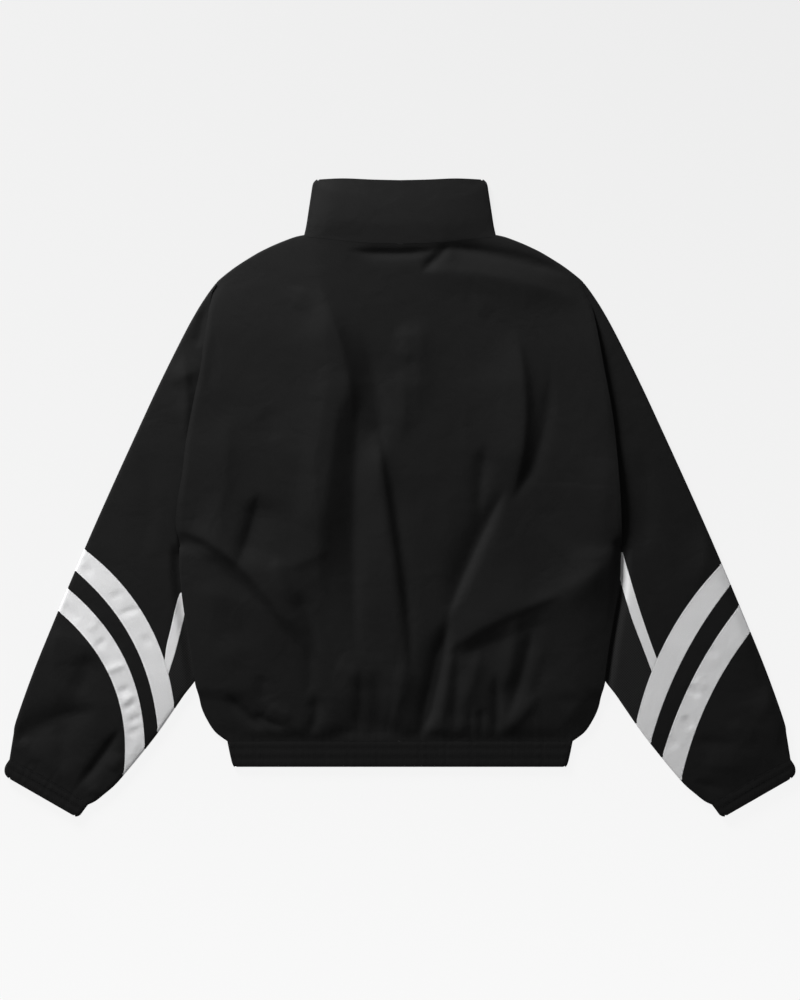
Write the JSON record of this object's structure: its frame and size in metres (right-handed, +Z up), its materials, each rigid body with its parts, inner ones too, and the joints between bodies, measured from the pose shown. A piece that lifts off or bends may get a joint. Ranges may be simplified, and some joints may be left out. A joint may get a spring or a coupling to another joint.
{
  "type": "track jacket",
  "caption": "Full-zip track jacket with a stand collar, mesh underarm inserts, pale sleeve bands and elastic hem and cuffs, laid flat on its front.",
  "frame": {"origin": "centre of the garment's outline on the surface it lies on", "axes": "+Z up, the back of the garment facing up; +Y towards the collar; +X towards the sleeve on the right when looking down on the back"},
  "size_m": [0.989, 0.7974, 0.0093],
  "materials": {
    "black_cloth": "soft matt woven or brushed jersey, black",
    "pale_cloth": "smooth pale grey-white cloth",
    "mesh_cloth": "black warp-knit mesh",
    "rib_cloth": "black cloth stitched over elastic",
    "zip_tape": "black woven zip tape",
    "zip_metal": "black enamelled die-cast metal"
  },
  "bodies": {
    "garment": {"back": "black_cloth", "front_left": "black_cloth", "front_right": "black_cloth", "collar": "black_cloth", "hem_band": "rib_cloth", "zip_tape_left": "zip_tape", "zip_tape_right": "zip_tape", "zip_slider": "zip_metal", "upper_sleeve_left": "black_cloth", "gusset_left": "mesh_cloth", "piping_back_left": "pale_cloth", "piping_front_left": "pale_cloth", "band_1_left": "pale_cloth", "stripe_left": "black_cloth", "band_2_left": "pale_cloth", "lower_sleeve_left": "black_cloth", "cuff_left": "rib_cloth", "upper_sleeve_right": "black_cloth", "gusset_right": "mesh_cloth", "piping_back_right": "pale_cloth", "piping_front_right": "pale_cloth", "band_1_right": "pale_cloth", "stripe_right": "black_cloth", "band_2_right": "pale_cloth", "lower_sleeve_right": "black_cloth", "cuff_right": "rib_cloth"},
    "pull_tab": {"pull_tab": "zip_metal"}
  },
  "joints": [
    {"name": "pull_tab_hinge", "type": "hinge", "parent": "garment", "child": "pull_tab", "pos_m": [0, 0.381, 0.00185], "axis": [1, 0, 0], "range_deg": [0, 170]}
  ]
}
